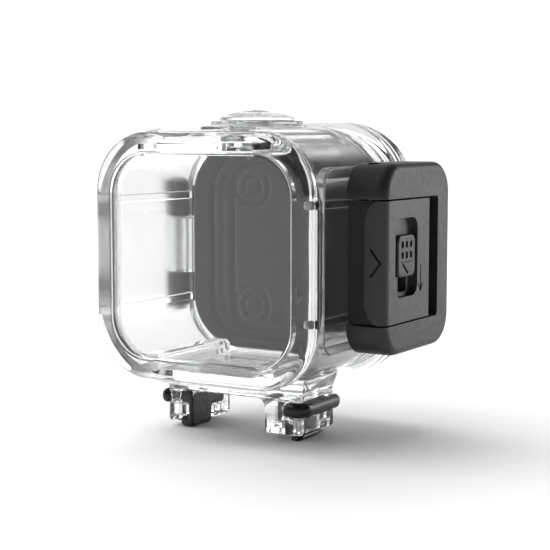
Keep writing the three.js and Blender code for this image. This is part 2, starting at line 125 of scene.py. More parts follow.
BEZEL = Outline(22.05, 21.6, 10.6)
BEZEL_EDGE = 1.6
OPENING = Outline(glass_high.x + FIT_GAP, glass_high.z + FIT_GAP, 7.5)
LEDGE_INSET = 0.3
LEDGE = Outline(OPENING.wide - LEDGE_INSET, OPENING.high - LEDGE_INSET, OPENING.corner - LEDGE_INSET)
LEDGE_FRONT, LEDGE_REAR = 2.65, 3.4
BARREL = Outline(22.2, 22.5, 15)
BARREL_FRONT = 2.9
BAY = Outline(20.3, 19.8, 9.5)
MOUTH = Outline(20.9, 20.4, 10.1)
MOUTH_FRONT = 27.3
LAND = Outline(seal_high.x + 0.2, seal_high.z + 0.2, 10.9)
LAND_FRONT = 31.2
FLANGE = Outline(door_high.x, door_high.z, 13.3)
FLANGE_FRONT, FLANGE_REAR = 30.2, 33.0
PLUG = Outline(20.4, 19.9, 9.6)
PAD = Outline(pad_high.x, pad_high.z, 10)

RIB_LEVELS = (9.55, -9.95)
RIB_HALF, RIB_TALL = 0.75, 0.9
RAIL_X, RAIL_HALF, RAIL_TALL, RAIL_REAR = 11.75, 2.05, 2.4, 26.0

BUTTON_Y = (button_low.y + button_high.y) / 2
CAP_RADIUS = button_high.x
COLLAR_RADIUS, COLLAR_TOP, WELL_RADIUS, WELL_FLOOR = 8.3, 23.5, 7.1, 21.3
BOSS_RADIUS, BOSS_BOTTOM, BOSS_BORE = 4.6, 18.6, 2.4
STEM_RADIUS = 2.0

HINGE_X = (hinge_pin_low.x + hinge_pin_high.x) / 2
HINGE_Y = (hinge_pin_low.y + hinge_pin_high.y) / 2
KNUCKLE_RADIUS, HINGE_BORE, HINGE_PIN = 2.9, 1.3, 1.0
KNUCKLE_BOTTOM, KNUCKLE_TOP = -5.8, 4.7

LEVER_PIVOT = Vector(((lever_pin_low.x + lever_pin_high.x) / 2, (lever_pin_low.y + lever_pin_high.y) / 2))
BAIL_PIVOT = Vector(((bail_pin_low.x + bail_pin_high.x) / 2, (bail_pin_low.y + bail_pin_high.y) / 2))
LEVER_NOSE, LEVER_BORE, BAIL_BORE = 2.1, 1.2, 1.4
LATCH_EDGE = 1.8
WINDOW_BOTTOM, WINDOW_TOP, WINDOW_REAR = -10.8, 10.4, 31.0
PIVOT_LUGS = ((-8.4, -5.4), (4.6, 7.6))

SHOE_FRONT, SHOE_REAR, SHOE_SEAT = 10.5, 22.8, -24.9
SHOE_HALF, LUG_OUTER, LUG_BOTTOM = 14.3, 14.0, -30.9
CHANNEL_LEFT, CHANNEL_RIGHT = -8.5, 6.9
SHOE_MIDDLE = (SHOE_FRONT + SHOE_REAR) / 2

# ---- Shapes ----
# The recess slot is painted shade on the lever's sunk face. The mark slot is the dark paint of engraved marks
# and also of a painted shade line along the lever's lip.
GLOSS, SATIN, FROSTED, STREAKED, MARK_AND_SHADE, RECESS_SHADE = 0, 1, 2, 3, 1, 2


def grown(outline, margin):
    return Outline(outline.wide + margin, outline.high + margin, max(outline.corner + margin, 0.05))


def ring_points(wide, high, corner, steps=CORNER_STEPS):
    """The points of a rounded rectangle about the origin, counter-clockwise."""
    points = []
    for quarter, (right, up) in enumerate(((1, 1), (-1, 1), (-1, -1), (1, -1))):
        u, v = right * (wide - corner), up * (high - corner)
        for step in range(steps + 1):
            turn = (quarter + step / steps) * math.pi / 2
            points.append((u + corner * math.cos(turn), v + corner * math.sin(turn)))
    return points


def along(axis, u, v, level):
    """The point at (u, v) in the plane across an axis, at a level on that axis."""
    return {"X": (level, u, v), "Y": (u, level, v), "Z": (u, v, level)}[axis]


def loft(rings, closed=False, finishes=None):
    """Joins rings of equally many points into a solid, capped at both ends or closed on itself."""
    bm = bmesh.new()
    loops = [[bm.verts.new(point) for point in ring] for ring in rings]
    pairs = list(zip(loops, loops[1:])) + ([(loops[-1], loops[0])] if closed else [])
    for place, (first, second) in enumerate(pairs):
        for i in range(len(first)):
            j = (i + 1) % len(first)
            face = bm.faces.new((first[i], first[j], second[j], second[i]))
            face.material_index = finishes[place] if finishes else GLOSS
    if not closed:
        bm.faces.new(loops[0][::-1])
        bm.faces.new(loops[-1])
    bmesh.ops.remove_doubles(bm, verts=bm.verts, dist=1e-4)
    bmesh.ops.dissolve_degenerate(bm, edges=bm.edges, dist=1e-5)
    bmesh.ops.recalc_face_normals(bm, faces=bm.faces)
    return bm


def filleted(corners, closed=False, steps=FILLET_STEPS):
    """Rounds a profile. A corner is some numbers and then its fillet radius, which is measured in the
    plane of the first and the last of those numbers."""
    made = []
    for i, (*at, radius) in enumerate(corners):
        at = Vector(at)
        if radius == 0 or (not closed and i in (0, len(corners) - 1)):
            made.append((at, i))
            continue
        towards = []
        for near in (i - 1, (i + 1) % len(corners)):
            step = Vector(corners[near][:-1]) - at
            towards.append((step, math.hypot(step[0], step[-1])))
        (before, before_length), (after, after_length) = towards
        before, after = before / before_length, after / after_length
        cosine = max(-1, min(1, before[0] * after[0] + before[-1] * after[-1]))
        half = math.acos(cosine) / 2
        reach = min(radius / math.tan(half), before_length * 0.49, after_length * 0.49)
        first, second = before * reach, after * reach
        turn = math.pi - 2 * half
        share = 1 / (1 + cosine)
        for step in range(steps + 1):
            one = math.sin((1 - step / steps) * turn) / math.sin(turn)
            two = math.sin(step / steps * turn) / math.sin(turn)
            centre = (first + second) * share
            made.append((at + centre + (first - centre) * one + (second - centre) * two, i))
    return made


def slab(axis, outline, low, high, edge=0.2, middle=(0, 0), edge_low=None, corner_steps=8):
    """A rounded plate across an axis, with filleted rims."""
    edge_low = edge if edge_low is None else edge_low
    inner = grown(outline, -2 * edge)
    inner_low = grown(outline, -2 * edge_low)
    corners = [(*inner_low, low, 0), (*outline, low, edge_low), (*outline, high, edge), (*inner, high, 0)]
    rings = []
    for (wide, tall, corner, level), _ in filleted(corners, steps=3):
        points = ring_points(wide, tall, corner, corner_steps)
        rings.append([along(axis, middle[0] + u, middle[1] + v, level) for u, v in points])
    return loft(rings)


def painted(bm, finish):
    """The same shape with every face in one finish."""
    for face in bm.faces:
        face.material_index = finish
    return bm


def box(low, high, edge=0.15, corner=0.3, axis="X"):
    """A block between two corners, rounded about one axis, with filleted rims."""
    across = {"X": (1, 2, 0), "Y": (0, 2, 1), "Z": (0, 1, 2)}[axis]
    u, v, w = across
    outline = Outline((high[u] - low[u]) / 2, (high[v] - low[v]) / 2, corner)
    middle = ((high[u] + low[u]) / 2, (high[v] + low[v]) / 2)
    return slab(axis, outline, low[w], high[w], edge, middle, corner_steps=5)


def turned(corners, x, y, steps=TURN_STEPS, closed=False, axis="Z"):
    """A piece turned about a line along an axis, from corners of (radius, level, fillet radius)."""
    rings = []
    for (radius, level), _ in filleted(corners, closed):
        circle = [2 * math.pi * step / steps for step in range(steps)]
        rings.append([along(axis, x + radius * math.cos(a), y + radius * math.sin(a), level) for a in circle])
    return loft(rings, closed=closed)


def rod(x, y, radius, low, high, edge=0.1, axis="Z", steps=40):
    """A round bar along an axis with broken edges."""
    corners = [(radius * 0.4, low, 0), (radius, low, edge), (radius, high, edge), (radius * 0.4, high, 0)]
    return turned(corners, x, y, steps, axis=axis)


def prism(points, low, high, axis="Z"):
    """A straight solid from an outline in the plane across an axis."""
    return loft([[along(axis, u, v, level) for u, v in points] for level in (low, high)])


def arc(centre, radius, start, end, steps=14):
    """Points on an arc, with its angles in degrees."""
    angles = [math.radians(start + (end - start) * step / steps) for step in range(steps + 1)]
    return [(centre[0] + radius * math.cos(a), centre[1] + radius * math.sin(a)) for a in angles]


def tube(path, tall, deep, sides=14):
    """A rod of oval section along a level path, with domed ends. tall and deep are its half sizes."""
    count = len(path)
    rings = []
    for i, point in enumerate(path):
        ahead = (path[min(i + 1, count - 1)] - path[max(i - 1, 0)]).normalized()
        side = ahead.cross(Vector((0, 0, 1))).normalized()
        dome = []
        if i == 0:
            dome = [(-math.cos(a), math.sin(a)) for a in (0.12, 0.45, 0.8, 1.15)] + [(0, 1)]
        elif i == count - 1:
            dome = [(0, 1)] + [(math.cos(a), math.sin(a)) for a in (1.15, 0.8, 0.45, 0.12)]
        for forward, scale in dome or [(0, 1)]:
            centre = point + ahead * forward * deep
            turns = [2 * math.pi * k / sides for k in range(sides)]
            up, out = Vector((0, 0, tall * scale)), side * deep * scale
            rings.append([centre + out * math.cos(a) + up * math.sin(a) for a in turns])
    return loft(rings)


def joined(*parts):
    """Several solids in one mesh, left overlapping."""
    whole = bmesh.new()
    for part in parts:
        mesh = bpy.data.meshes.new("part")
        part.to_mesh(mesh)
        part.free()
        whole.from_mesh(mesh)
        bpy.data.meshes.remove(mesh)
    return whole


def placed(name, data):
    """A new object in the scene."""
    made = bpy.data.objects.new(name, data)
    bpy.context.scene.collection.objects.link(made)
    return made


def as_object(bm):
    mesh = bpy.data.meshes.new("tool")
    bm.to_mesh(mesh)
    bm.free()
    for _ in range(4):
        mesh.materials.append(None)
    return placed("tool", mesh)


def evaluated(owner, *others):
    """The mesh that an object's modifiers make, once it and its helpers are gone."""
    made = bmesh.new()
    made.from_object(owner, bpy.context.evaluated_depsgraph_get())
    for gone in (owner, *others):
        mesh = gone.data
        bpy.data.objects.remove(gone)
        bpy.data.meshes.remove(mesh)
    return made


def boolean(base, operation, *tools):
    """base with every tool joined to it or cut from it."""
    owner = as_object(base)
    helpers = [as_object(tool) for tool in tools]
    for helper in helpers:
        step = owner.modifiers.new("step", "BOOLEAN")
        step.operation = operation
        step.solver = "MANIFOLD"
        step.object = helper
    return evaluated(owner, *helpers)


def union(base, *tools):
    return boolean(base, "UNION", *tools)


def cut(base, *tools):
    return boolean(base, "DIFFERENCE", *tools)


def moulded(bm):
    """Overlapping solids melted into one soft skin."""
    owner = as_object(bm)
    remesh = owner.modifiers.new("melt", "REMESH")
    remesh.mode = "VOXEL"
    remesh.voxel_size = 0.2
    smooth = owner.modifiers.new("soften", "SMOOTH")
    smooth.factor = 0.5
    smooth.iterations = 4
    return evaluated(owner)


def mirrored(bm):
    """The same solid turned half round the upright line through the middle of the shoe."""
    turn = Matrix.Rotation(math.pi, 4, "Z")
    middle = Matrix.Translation((0, SHOE_FRONT + SHOE_REAR, 0))
    bmesh.ops.transform(bm, matrix=middle @ turn, verts=bm.verts)
    return bm


def piece(name, bm, body, nodes, materials, bevel=0):
    """Makes the shape a piece of the object that stands for its CAD nodes."""
    mesh = bpy.data.meshes.new(name)
    bm.to_mesh(mesh)
    bm.free()
    mesh.transform(TO_FRAME)
    for material in materials:
        mesh.materials.append(material)
    for polygon in mesh.polygons:
        polygon.use_smooth = True
        polygon.material_index = min(polygon.material_index, len(materials) - 1)
    mesh.set_sharp_from_angle(angle=SHARP_ANGLE)
    made = placed(name, mesh)
    if bevel:
        edges = made.modifiers.new("edges", "BEVEL")
        edges.width = bevel * MM
        edges.segments = 2
        edges.limit_method = "ANGLE"
        edges.angle_limit = SHARP_ANGLE
        edges.use_clamp_overlap = True
    normals = made.modifiers.new("normals", "WEIGHTED_NORMAL")
    normals.keep_sharp = True
    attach(made, body)
    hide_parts(*nodes)
    return made


# ---- Materials ----
class Finish:
    """A procedural material on a Principled shader, with its patterns in the frame's coordinates."""

    def __init__(self, name, **sockets):
        self.material = bpy.data.materials.new(name)
        self.material.use_nodes = True
        self.tree = self.material.node_tree
        self.shader = self.tree.nodes["Principled BSDF"]
        self.place = self.tree.nodes.new("ShaderNodeTexCoord").outputs["Object"]
        for socket, value in sockets.items():
            self.shader.inputs[socket.replace("_", " ")].default_value = value

    def node(self, kind, **values):
        made = self.tree.nodes.new(kind)
        for name, value in values.items():
            setattr(made, name, value)
        return made

    def link(self, source, target):
        self.tree.links.new(source, target)

    def noise(self, grain_mm, detail=3.0, stretch=(1, 1, 1)):
        """A noise pattern whose grains are about that many millimetres across."""
        mapping = self.node("ShaderNodeMapping")
        mapping.inputs["Scale"].default_value = stretch
        self.link(self.place, mapping.inputs["Vector"])
        pattern = self.node("ShaderNodeTexNoise")
        pattern.inputs["Scale"].default_value = 1 / (grain_mm * MM)
        pattern.inputs["Detail"].default_value = detail
        self.link(mapping.outputs["Vector"], pattern.inputs["Vector"])
        return pattern.outputs["Fac"]

    def ranged(self, source, low, high, start=0.3, end=0.7):
        """A pattern between start and end, spread over low to high."""
        step = self.node("ShaderNodeMapRange")
        for name, value in (("From Min", start), ("From Max", end), ("To Min", low), ("To Max", high)):
            step.inputs[name].default_value = value
        self.link(source, step.inputs["Value"])
        return step.outputs["Result"]

    def colours(self, source, dark, light):
        """The base colour, from dark to light with a pattern."""
        ramp = self.node("ShaderNodeValToRGB")
        for element, place, tone in zip(ramp.color_ramp.elements, (0.3, 0.7), (dark, light)):
            element.position = place
            element.color = (*tone, 1)
        self.link(source, ramp.inputs["Fac"])
        self.link(ramp.outputs["Color"], self.shader.inputs["Base Color"])
        return ramp.outputs["Color"]

    def roughness(self, source, low, high):
        self.link(self.ranged(source, low, high), self.shader.inputs["Roughness"])

    def bump(self, source, depth_mm, strength=1.0, under=None):
        """Relief as deep as depth_mm, over another relief if one is given."""
        relief = self.node("ShaderNodeBump")
        relief.inputs["Strength"].default_value = strength
        relief.inputs["Distance"].default_value = depth_mm * MM
        self.link(source, relief.inputs["Height"])
        if under:
            self.link(under, relief.inputs["Normal"])
        self.link(relief.outputs["Normal"], self.shader.inputs["Normal"])
        return relief.outputs["Normal"]

    def worn_edges(self, colour, light):
        """Edges rubbed a little lighter."""
        shape = self.node("ShaderNodeNewGeometry").outputs["Pointiness"]
        amount = self.ranged(shape, 0, 0.5, 0.53, 0.62)
        blend = self.node("ShaderNodeMix", data_type="RGBA")
        self.link(amount, blend.inputs["Factor"])
        self.link(colour, blend.inputs["A"])
        blend.inputs["B"].default_value = (*light, 1)
        self.link(blend.outputs["Result"], self.shader.inputs["Base Color"])


def clear_plastic(name, colour, rough, flow_mm=0.05, streak_mm=0):
    """Moulded polycarbonate: slow flow waves, and level streaks where it is thick."""
    finish = Finish(name, Transmission_Weight=1.0, IOR=1.53)
    flow = finish.noise(9, 2, (1, 0.6, 1))
    finish.colours(flow, [c * 0.97 for c in colour], colour)
    finish.roughness(finish.noise(3, 4), *rough)
    waves = finish.bump(flow, flow_mm)
    if streak_mm:
        finish.bump(finish.noise(1.6, 2, (0.2, 0.2, 2.2)), streak_mm, 1.0, waves)
    return finish.material


def dark_plastic(name, shade=1.0):
    """Glass-filled nylon with a fine spark-eroded skin and slightly polished edges. A shade below 1 makes a
    darker, duller copy, which is painted shade.
    """
    finish = Finish(name, IOR=1.5, Specular_IOR_Level=0.4 * shade)
    dark, light = [[c * shade for c in tone] for tone in ((0.014, 0.014, 0.013), (0.019, 0.019, 0.0175))]
    colour = finish.colours(finish.noise(2.5, 5), dark, light)
    finish.worn_edges(colour, (0.045, 0.045, 0.042))
    finish.roughness(finish.noise(1.2, 4), 0.40, 0.52)
    finish.bump(finish.noise(0.22, 3), 0.02, 0.3)
    return finish.material


def grey_silicone():
    """Moulded silicone: dusty, soft and slightly mottled."""
    finish = Finish("grey_silicone", IOR=1.41, Sheen_Weight=0.25, Sheen_Roughness=0.5)
    finish.colours(finish.noise(4, 5), (0.024, 0.024, 0.024), (0.030, 0.030, 0.030))
    finish.roughness(finish.noise(1.5, 4), 0.50, 0.64)
    return finish.material


def black_rubber():
    finish = Finish("black_rubber", IOR=1.52)
    finish.colours(finish.noise(1.5, 5), (0.006, 0.006, 0.006), (0.011, 0.011, 0.011))
    finish.roughness(finish.noise(0.8, 4), 0.24, 0.36)
    finish.bump(finish.noise(0.25, 3), 0.02, 0.5)
    return finish.material


def steel():
    finish = Finish("brushed_steel", Metallic=1.0)
    brushed = finish.noise(0.5, 4, (1, 1, 9))
    finish.colours(brushed, (0.48, 0.48, 0.49), (0.66, 0.66, 0.67))
    finish.roughness(brushed, 0.20, 0.36)
    finish.bump(brushed, 0.008, 0.5)
    return finish.material


def clear_seal():
    """Milky silicone rubber."""
    finish = Finish("milky_silicone", IOR=1.41, Transmission_Weight=0.95)
    finish.colours(finish.noise(3, 3), (0.90, 0.91, 0.90), (0.96, 0.97, 0.96))
    finish.roughness(finish.noise(1.2, 3), 0.08, 0.18)
    return finish.material


# Near-black paint for engraved marks and print. On the lever it also paints a shade line along the lip.
def engraved_mark_and_shade():
    finish = Finish("engraved_mark_and_shade", IOR=1.5)
    finish.colours(finish.noise(0.4, 3), (0.006, 0.006, 0.006), (0.012, 0.012, 0.012))
    finish.roughness(finish.noise(0.4, 3), 0.55, 0.75)
    return finish.material


gloss = clear_plastic("clear_gloss", (0.885, 0.895, 0.89), (0.015, 0.05))
satin = clear_plastic("clear_satin", (0.92, 0.93, 0.92), (0.13, 0.22), flow_mm=0.03)
frosted = clear_plastic("clear_frosted", (0.97, 0.98, 0.975), (0.10, 0.16), flow_mm=0.02)
streaked = clear_plastic("clear_streaked", (0.97, 0.98, 0.975), (0.03, 0.10), streak_mm=0.12)
pane = clear_plastic("clear_pane", (0.985, 0.99, 0.985), (0.0, 0.015), flow_mm=0.004)
lens = clear_plastic("clear_lens", (0.90, 0.91, 0.90), (0.20, 0.30), flow_mm=0.004)
# The second nylon is a darker, duller copy that paints shade onto the lever's sunk face.
nylon, recess_shade_nylon = dark_plastic("satin_dark_plastic"), dark_plastic("recess_shade_dark_plastic", 0.35)
silicone, rubber = grey_silicone(), black_rubber()
metal, milky, mark_and_shade = steel(), clear_seal(), engraved_mark_and_shade()


# ---- Housing body ----
def shell():
    """The bezel, barrel, flange and hollow as one closed profile swept round the housing."""
    corners = [
        (*OPENING, 0, 0.3),
        (*BEZEL, 0, BEZEL_EDGE),
        (*BEZEL, BARREL_FRONT, 0.25),
        (*BARREL, BARREL_FRONT, 1.1),
        (*BARREL, FLANGE_FRONT, 0.3),
        (*FLANGE, FLANGE_FRONT, 0.5),
        (*FLANGE, FLANGE_REAR, 0.35),
        (*LAND, FLANGE_REAR, 0.25),
        (*LAND, LAND_FRONT, 0.2),
        (*MOUTH, LAND_FRONT, 0.15),
        (*MOUTH, MOUTH_FRONT, 0.2),
        (*BAY, MOUTH_FRONT - 0.3, 0.2),
        (*BAY, LEDGE_REAR, 0.3),
        (*LEDGE, LEDGE_REAR, 0.1),
        (*LEDGE, LEDGE_FRONT, 0.05),
        (*OPENING, LEDGE_FRONT, 0.1),
    ]
    rows = filleted(corners, closed=True)
    rings = [[(u, y, v) for u, v in ring_points(w, h, c, 18)] for (w, h, c, y), _ in rows]
    barrel_side, bay_side = 3, 11
    finishes = [{barrel_side: SATIN, bay_side: FROSTED}.get(i, GLOSS) for _, i in rows]
    return loft(rings, closed=True, finishes=finishes)


def side_rib(side, level):
    inner, outer = BAY.wide - RIB_TALL, BAY.wide + 1
    low = (min(side * inner, side * outer), LEDGE_REAR - 0.4, level - RIB_HALF)
    high = (max(side * inner, side * outer), MOUTH_FRONT, level + RIB_HALF)
    return box(low, high, edge=0.25, corner=0.3)


def rail(side, up):
    """A camera guide rail: round-edged, with a rounded nose at its rear end."""
    tip, base = BAY.high - RAIL_TALL, BAY.high + 1.4
    middle = (side * RAIL_X, up * (tip + base) / 2)
    outline = Outline(RAIL_HALF, (base - tip) / 2, 1.1)
    return slab("Y", outline, LEDGE_REAR - 0.3, RAIL_REAR, 0.9, middle, edge_low=0.2)


def collar():
    corners = [
        (0, WELL_FLOOR - 0.9, 0),
        (COLLAR_RADIUS + 0.8, WELL_FLOOR - 0.9, 0),
        (COLLAR_RADIUS + 0.8, BARREL.high + 0.12, 0.2),
        (COLLAR_RADIUS, BARREL.high + 0.2, 0.3),
        (COLLAR_RADIUS, COLLAR_TOP, 0.35),
        (0, COLLAR_TOP, 0),
    ]
    return turned(corners, 0, BUTTON_Y)


def well():
    lip = 0.35
    corners = [
        (0, WELL_FLOOR, 0),
        (WELL_RADIUS, WELL_FLOOR, 0.4),
        (WELL_RADIUS, COLLAR_TOP - lip, 0.3),
        (WELL_RADIUS + 2 * lip, COLLAR_TOP + lip, 0),
        (0, COLLAR_TOP + lip, 0),
    ]
    return turned(corners, 0, BUTTON_Y)


def latch_seat():
    """The raised flat on the barrel's side behind the latch."""
    front, rear, bottom, top, corner, raised, sunk = 3.6, 30.4, -15.4, 15.7, 3, 0.35, 1.4
    outline = Outline((rear - front) / 2, (top - bottom) / 2, corner)
    middle = ((rear + front) / 2, (top + bottom) / 2)
    return painted(slab("X", outline, BARREL.wide - sunk, BARREL.wide + raised, 0.3, middle), SATIN)


def shoe_block():
    """The pedestal under the barrel and the two lugs, with a round-cornered channel between them."""
    deep = (SHOE_REAR - SHOE_FRONT) / 2
    flare, top = 0.9, -BARREL.high + 1.6
    rows = [
        (SHOE_HALF - 1, deep - 1, 0.6, SHOE_SEAT, 0),
        (SHOE_HALF, deep, 1.4, SHOE_SEAT, 0.45),
        (SHOE_HALF, deep, 1.4, -BARREL.high - 0.9, 1.2),
        (SHOE_HALF + flare, deep + flare, 2.2, top, 0),
    ]
    rings = []
    for (wide, tall, corner, level), _ in filleted(rows):
        rings.append([(u, SHOE_MIDDLE + v, level) for u, v in ring_points(wide, tall, corner, 8)])
    pedestal = loft(rings)
    leg_outline = Outline(LUG_OUTER, deep - 0.05, 0.7)
    legs = painted(slab("Z", leg_outline, LUG_BOTTOM, SHOE_SEAT + 1, 0.5, (0, SHOE_MIDDLE)), STREAKED)
    channel_high = (SHOE_SEAT - (LUG_BOTTOM - 2)) / 2
    channel_outline = Outline((CHANNEL_RIGHT - CHANNEL_LEFT) / 2, channel_high, 1.7)
    middle = ((CHANNEL_RIGHT + CHANNEL_LEFT) / 2, SHOE_SEAT - channel_high)
    channel = slab("Y", channel_outline, SHOE_FRONT - 2, SHOE_REAR + 2, 0.05, middle)
    return cut(union(pedestal, legs), channel)


def hinge_knuckle():
    eye = rod(HINGE_X, HINGE_Y, KNUCKLE_RADIUS, KNUCKLE_BOTTOM, KNUCKLE_TOP, 0.3)
    low = (HINGE_X, HINGE_Y - KNUCKLE_RADIUS, KNUCKLE_BOTTOM)
    return union(eye, box(low, (-FLANGE.wide + 1.4, FLANGE_REAR, KNUCKLE_TOP), 0.25, 0.3, "Z"))


def pivot_lug(bottom, top):
    eye = rod(LEVER_PIVOT.x, LEVER_PIVOT.y, LEVER_NOSE, bottom, top, 0.15)
    low = (BARREL.wide - 1, LEVER_PIVOT.y - LEVER_NOSE, bottom)
    return union(eye, box(low, (LEVER_PIVOT.x, LEVER_PIVOT.y + LEVER_NOSE, top), 0.15, 0.2, "Z"))


# The blocks of one rubber insert: lowest corner, highest corner and how round they are.
INSERT_BLOCKS = (
    ((9.6, 12.6, -27.2), (13.6, 21.4, -25.4), 0.5),
    ((8.7, 11.9, -27.5), (11.3, 22.7, -25.1), 0.9),
    ((8.7, 11.9, -28.6), (9.6, 22.7, -25.1), 0.4),
    ((8.7, 16.0, -30.9), (9.6, 22.7, -25.1), 0.5),
    ((8.7, 16.0, -31.8), (11.3, 22.7, -29.7), 0.9),
    ((12.2, 12.6, -31.0), (13.2, 17.6, -25.6), 0.4),
)
BEAD_Z, BEAD_HIGH, BEAD_DEEP, BEAD_REACH, BEAD_START, BEAD_BEND = -26.4, 2.7, 2.0, 15.3, 10.9, 1.8
LOBE_LEFT, LOBE_RIGHT, LOBE_FRONT, LOBE_REAR, LOBE_TOP = 11.6, 13.9, 10.9, 19.4, -30.75
FLOOR_Z = -ORIGIN.z / MM


def bead_path():
    x = BEAD_REACH - BEAD_DEEP / 2
    y = SHOE_FRONT + 0.2
    points = [Vector((BEAD_START + 0.8 + step * 0.5, y, BEAD_Z)) for step in range(2)]
    centre = (x - BEAD_BEND, y + BEAD_BEND)
    points += [Vector((*point, BEAD_Z)) for point in arc(centre, BEAD_BEND, -90, 0, 8)]
    points += [Vector((x, y + BEAD_BEND + 1.5 + 3 * step, BEAD_Z)) for step in range(3)]
    points.append(Vector((x, SHOE_REAR - 0.5, BEAD_Z)))
    return points


def foot_lobe(swell):
    """The long foot under a lug, which thins towards its rear end."""
    rings = []
    steps = 10
    for step in range(steps + 1):
        share = step / steps
        y = LOBE_FRONT - swell + share * (LOBE_REAR - LOBE_FRONT + 2 * swell)
        rounded = min(1, math.sqrt(max(0.02, share * 6)), math.sqrt(max(0.02, (1 - share) * 5)))
        lift = 0.75 * max(0, share - 0.45) ** 1.5 / 0.41
        bottom = FLOOR_Z + lift * 0.5 - swell
        half_high = (LOBE_TOP + swell - bottom) / 2 * rounded
        half_wide = ((LOBE_RIGHT - LOBE_LEFT) / 2 + swell) * (0.7 + 0.3 * rounded)
        middle = ((LOBE_LEFT + LOBE_RIGHT) / 2, bottom + half_high)
        corner = min(half_high, half_wide) * 0.75
        section = ring_points(half_wide, half_high, corner, 6)
        rings.append([(middle[0] + u, y, middle[1] + v) for u, v in section])
    return loft(rings)


def insert_parts(swell):
    grow = Vector((swell, swell, swell))
    parts = [
        box(Vector(low) - grow, Vector(high) + grow, min(0.5, corner), corner, "X")
        for low, high, corner in INSERT_BLOCKS
    ]
    parts.append(foot_lobe(swell))
    parts.append(tube(bead_path(), BEAD_HIGH / 2 + swell, BEAD_DEEP / 2 + swell))
    return parts


# The block on the barrel's side under which the lock's tongue slides, by two corners.
STRIKE = ((21.5, 18.2, 4.6), (24, 22.2, 5.8))


def housing():
    parts = [side_rib(side, level) for side in (-1, 1) for level in RIB_LEVELS]
    parts += [rail(side, up) for side in (-1, 1) for up in (-1, 1)]
    parts += [collar(), rod(0, BUTTON_Y, BOSS_RADIUS, BOSS_BOTTOM, BARREL.high - 1, 0.3)]
    parts += [latch_seat(), shoe_block(), hinge_knuckle()]
    parts += [pivot_lug(bottom, top) for bottom, top in PIVOT_LUGS]
    parts.append(box(*STRIKE, 0.15, 0.2))
    tools = [well(), rod(0, BUTTON_Y, BOSS_BORE, BOSS_BOTTOM - 1, WELL_FLOOR + 1)]
    tools.append(rod(HINGE_X, HINGE_Y, HINGE_BORE, KNUCKLE_BOTTOM - 1, KNUCKLE_TOP + 1))
    tools.append(rod(LEVER_PIVOT.x, LEVER_PIVOT.y, LEVER_BORE, lever_low.z, lever_high.z))
    tools += insert_parts(CLEARANCE)
    tools += [mirrored(part) for part in insert_parts(CLEARANCE)]
    return cut(union(shell(), *parts), *tools)


shell_finishes = [gloss, satin, frosted, streaked]
piece("housing_shell", housing(), "housing", ["housing_body"], shell_finishes, bevel=0.08)

# ---- Window ----
window_outline = grown(OPENING, -FIT_GAP)
window_plate = slab("Y", window_outline, glass_low.y, glass_high.y, 0.25, corner_steps=CORNER_STEPS)
piece("window_glass", window_plate, "housing", ["front_window"], [pane])


def ring_band(outer, inner, front, rear, edge):
    """A flat ring between two outlines."""
    corners = [(*outer, front, edge), (*outer, rear, edge), (*inner, rear, edge), (*inner, front, edge)]
    rows = filleted(corners, closed=True, steps=3)
    return loft([[(u, y, v) for u, v in ring_points(w, h, c)] for (w, h, c, y), _ in rows], closed=True)


gasket = ring_band(window_outline, grown(window_outline, -0.45), gasket_low.y, gasket_high.y, 0.2)
piece("gasket_ring", gasket, "housing", ["window_gasket"], [milky])


# ---- Shutter button ----
def dome():
    """A shallow lens on a short skirt, with a grooved stem through the roof."""
    skirt, skirt_radius, under, rim, top = 23.1, 5.4, 23.6, 24.1, button_high.z
    stem_end, groove = button_low.z, STEM_RADIUS - 0.5
    corners = [(0, stem_end, 0), (STEM_RADIUS, stem_end, 0.15)]
    for bottom, level, edge in ((17.95, 18.6, 0.05), (19.7, 20.7, 0.1)):
        corners += [(STEM_RADIUS, bottom, 0.05), (groove, bottom, edge)]
        corners += [(groove, level, edge), (STEM_RADIUS, level, 0.05)]
    corners += [
        (STEM_RADIUS, under, 0.3),
        (skirt_radius, under, 0.2),
        (skirt_radius, skirt, 0.1),
        (CAP_RADIUS, skirt, 0.12),
        (CAP_RADIUS, rim, 0.3),
    ]
    steps = 14
    for step in range(1, steps):
        radius = CAP_RADIUS * (1 - step / steps)
        corners.append((radius, rim + (top - rim) * (1 - (radius / CAP_RADIUS) ** 2), 0))
    corners.append((0, top, 0))
    return turned(corners, 0, BUTTON_Y)


piece("button_dome", dome(), "button", ["shutter_button"], [lens])


def coil_spring():
    """A conical spring of round wire, wide at the floor of the well and narrow under the cap."""
    wire, turns, per_turn = 0.17, 2.6, 36
    wide, narrow = spring_high.x - wire, 2.5 + wire
    bottom, top = spring_low.z + wire, spring_high.z - wire
    count = int(turns * per_turn)
    rings = []
    for step in range(count + 1):
        share = step / count
        turn = 2 * math.pi * turns * share
        radius = wide + (narrow - wide) * share
        out = Vector((math.cos(turn), math.sin(turn), 0))
        centre = Vector((0, BUTTON_Y, bottom + (top - bottom) * share)) + out * radius
        angles = [2 * math.pi * k / 8 for k in range(8)]
        rings.append([centre + out * wire * math.cos(a) + Vector((0, 0, wire * math.sin(a))) for a in angles])
    return loft(rings)


spring = piece("return_spring", coil_spring(), "housing", ["button_spring"], [metal])
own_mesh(spring)


def washer(inner, outer, bottom, top, edge, x=0, y=BUTTON_Y):
    corners = [(inner, bottom, edge), (outer, bottom, edge), (outer, top, edge), (inner, top, edge)]
    return turned(corners, x, y, closed=True)


